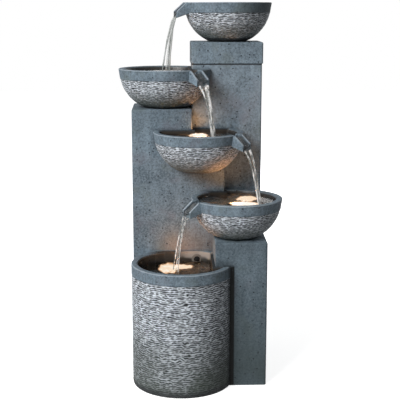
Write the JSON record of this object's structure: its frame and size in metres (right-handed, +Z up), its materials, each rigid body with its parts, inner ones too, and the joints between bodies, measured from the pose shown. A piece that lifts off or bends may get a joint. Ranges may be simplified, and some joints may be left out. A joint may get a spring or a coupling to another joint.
{
  "type": "garden fountain",
  "caption": "Tall garden fountain of stepped hemispherical bowls with pouring lips on hollow cast columns, spilling down into a round pump basin with lamps under the water.",
  "frame": {"origin": "on the ground under the middle of the fountain's bounding box", "axes": "+Z up, -Y towards the viewer of the cascade, +X to the viewer's right"},
  "size_m": [0.435, 0.4754, 1],
  "materials": {
    "cast_stone": "honed cast stone with small dark pits",
    "split_stone": "split-face stone strokes under a plain honed rim band",
    "rear_plastic": "fine-grained moulding",
    "pump_plastic": "fine-grained moulding",
    "impeller_plastic": "smooth moulding",
    "dial_plastic": "smooth moulding",
    "lamp_plastic": "fine-grained moulding",
    "rubber": "soft black moulding",
    "hose_vinyl": "clear flexible tube",
    "steel": "bright stainless",
    "brass_fitting": "turned",
    "white_ceramic": "ground",
    "lens": "clear moulded lens",
    "emitter": "emitter board under a warm phosphor"
  },
  "bodies": {
    "fountain": {"basin": "split_stone", "bolt_nuts": "steel", "bolt_washers": "steel", "cap_dowels": "steel", "column_back": "cast_stone", "column_bolts": "steel", "column_cap": "cast_stone", "cord_gland": "rear_plastic", "drain_bush": "rear_plastic", "fitting_gasket": "rubber", "fitting_nut": "brass_fitting", "hinge_brackets": "rear_plastic", "hinge_pins": "steel", "hinge_screws": "steel", "hose_clamps": "steel", "hose_grommet": "rubber", "inlet_fitting": "brass_fitting", "intake_grille": "pump_plastic", "lamp_board_basin": "emitter", "lamp_board_left": "emitter", "lamp_board_middle": "emitter", "lamp_board_right": "emitter", "lamp_body_basin": "lamp_plastic", "lamp_body_left": "lamp_plastic", "lamp_body_middle": "lamp_plastic", "lamp_body_right": "lamp_plastic", "lamp_lens_basin": "lens", "lamp_lens_left": "lens", "lamp_lens_middle": "lens", "lamp_lens_right": "lens", "lamp_screws": "steel", "lamp_seal_basin": "rubber", "lamp_seal_left": "rubber", "lamp_seal_middle": "rubber", "lamp_seal_right": "rubber", "left_bowl": "split_stone", "left_column": "cast_stone", "middle_bowl": "split_stone", "port_grommet": "rubber", "pump_housing": "pump_plastic", "pump_screws": "steel", "pump_shaft": "white_ceramic", "pump_volute": "pump_plastic", "right_bowl": "split_stone", "right_column": "cast_stone", "riser_hose": "hose_vinyl", "shaft_bush": "rubber", "strike_plate": "steel", "suction_feet": "rubber", "tall_column": "cast_stone", "top_bowl": "split_stone"},
    "door": {"service_door": "rear_plastic", "door_pull": "rear_plastic", "catch_magnet": "steel"},
    "impeller": {"pump_impeller": "impeller_plastic"},
    "dial": {"flow_dial": "dial_plastic"},
    "plug": {"drain_plug": "rubber"}
  },
  "joints": [
    {"name": "door_hinge", "type": "hinge", "parent": "fountain", "child": "door", "pos_m": [0.018, 0.19475, 0.132], "axis": [0, 0, 1], "range_deg": [0, 110]},
    {"name": "impeller_spin", "type": "hinge", "parent": "fountain", "child": "impeller", "pos_m": [0.004, -0.06675, 0.055], "axis": [0, 1, 0], "continuous": true},
    {"name": "dial_turn", "type": "hinge", "parent": "fountain", "child": "dial", "pos_m": [0.004, -0.06675, 0.055], "axis": [0, 1, 0], "range_deg": [-25, 25]},
    {"name": "plug_pull", "type": "slide", "parent": "fountain", "child": "plug", "axis": [0, 0, 1], "range_m": [0, 0.03]}
  ]
}
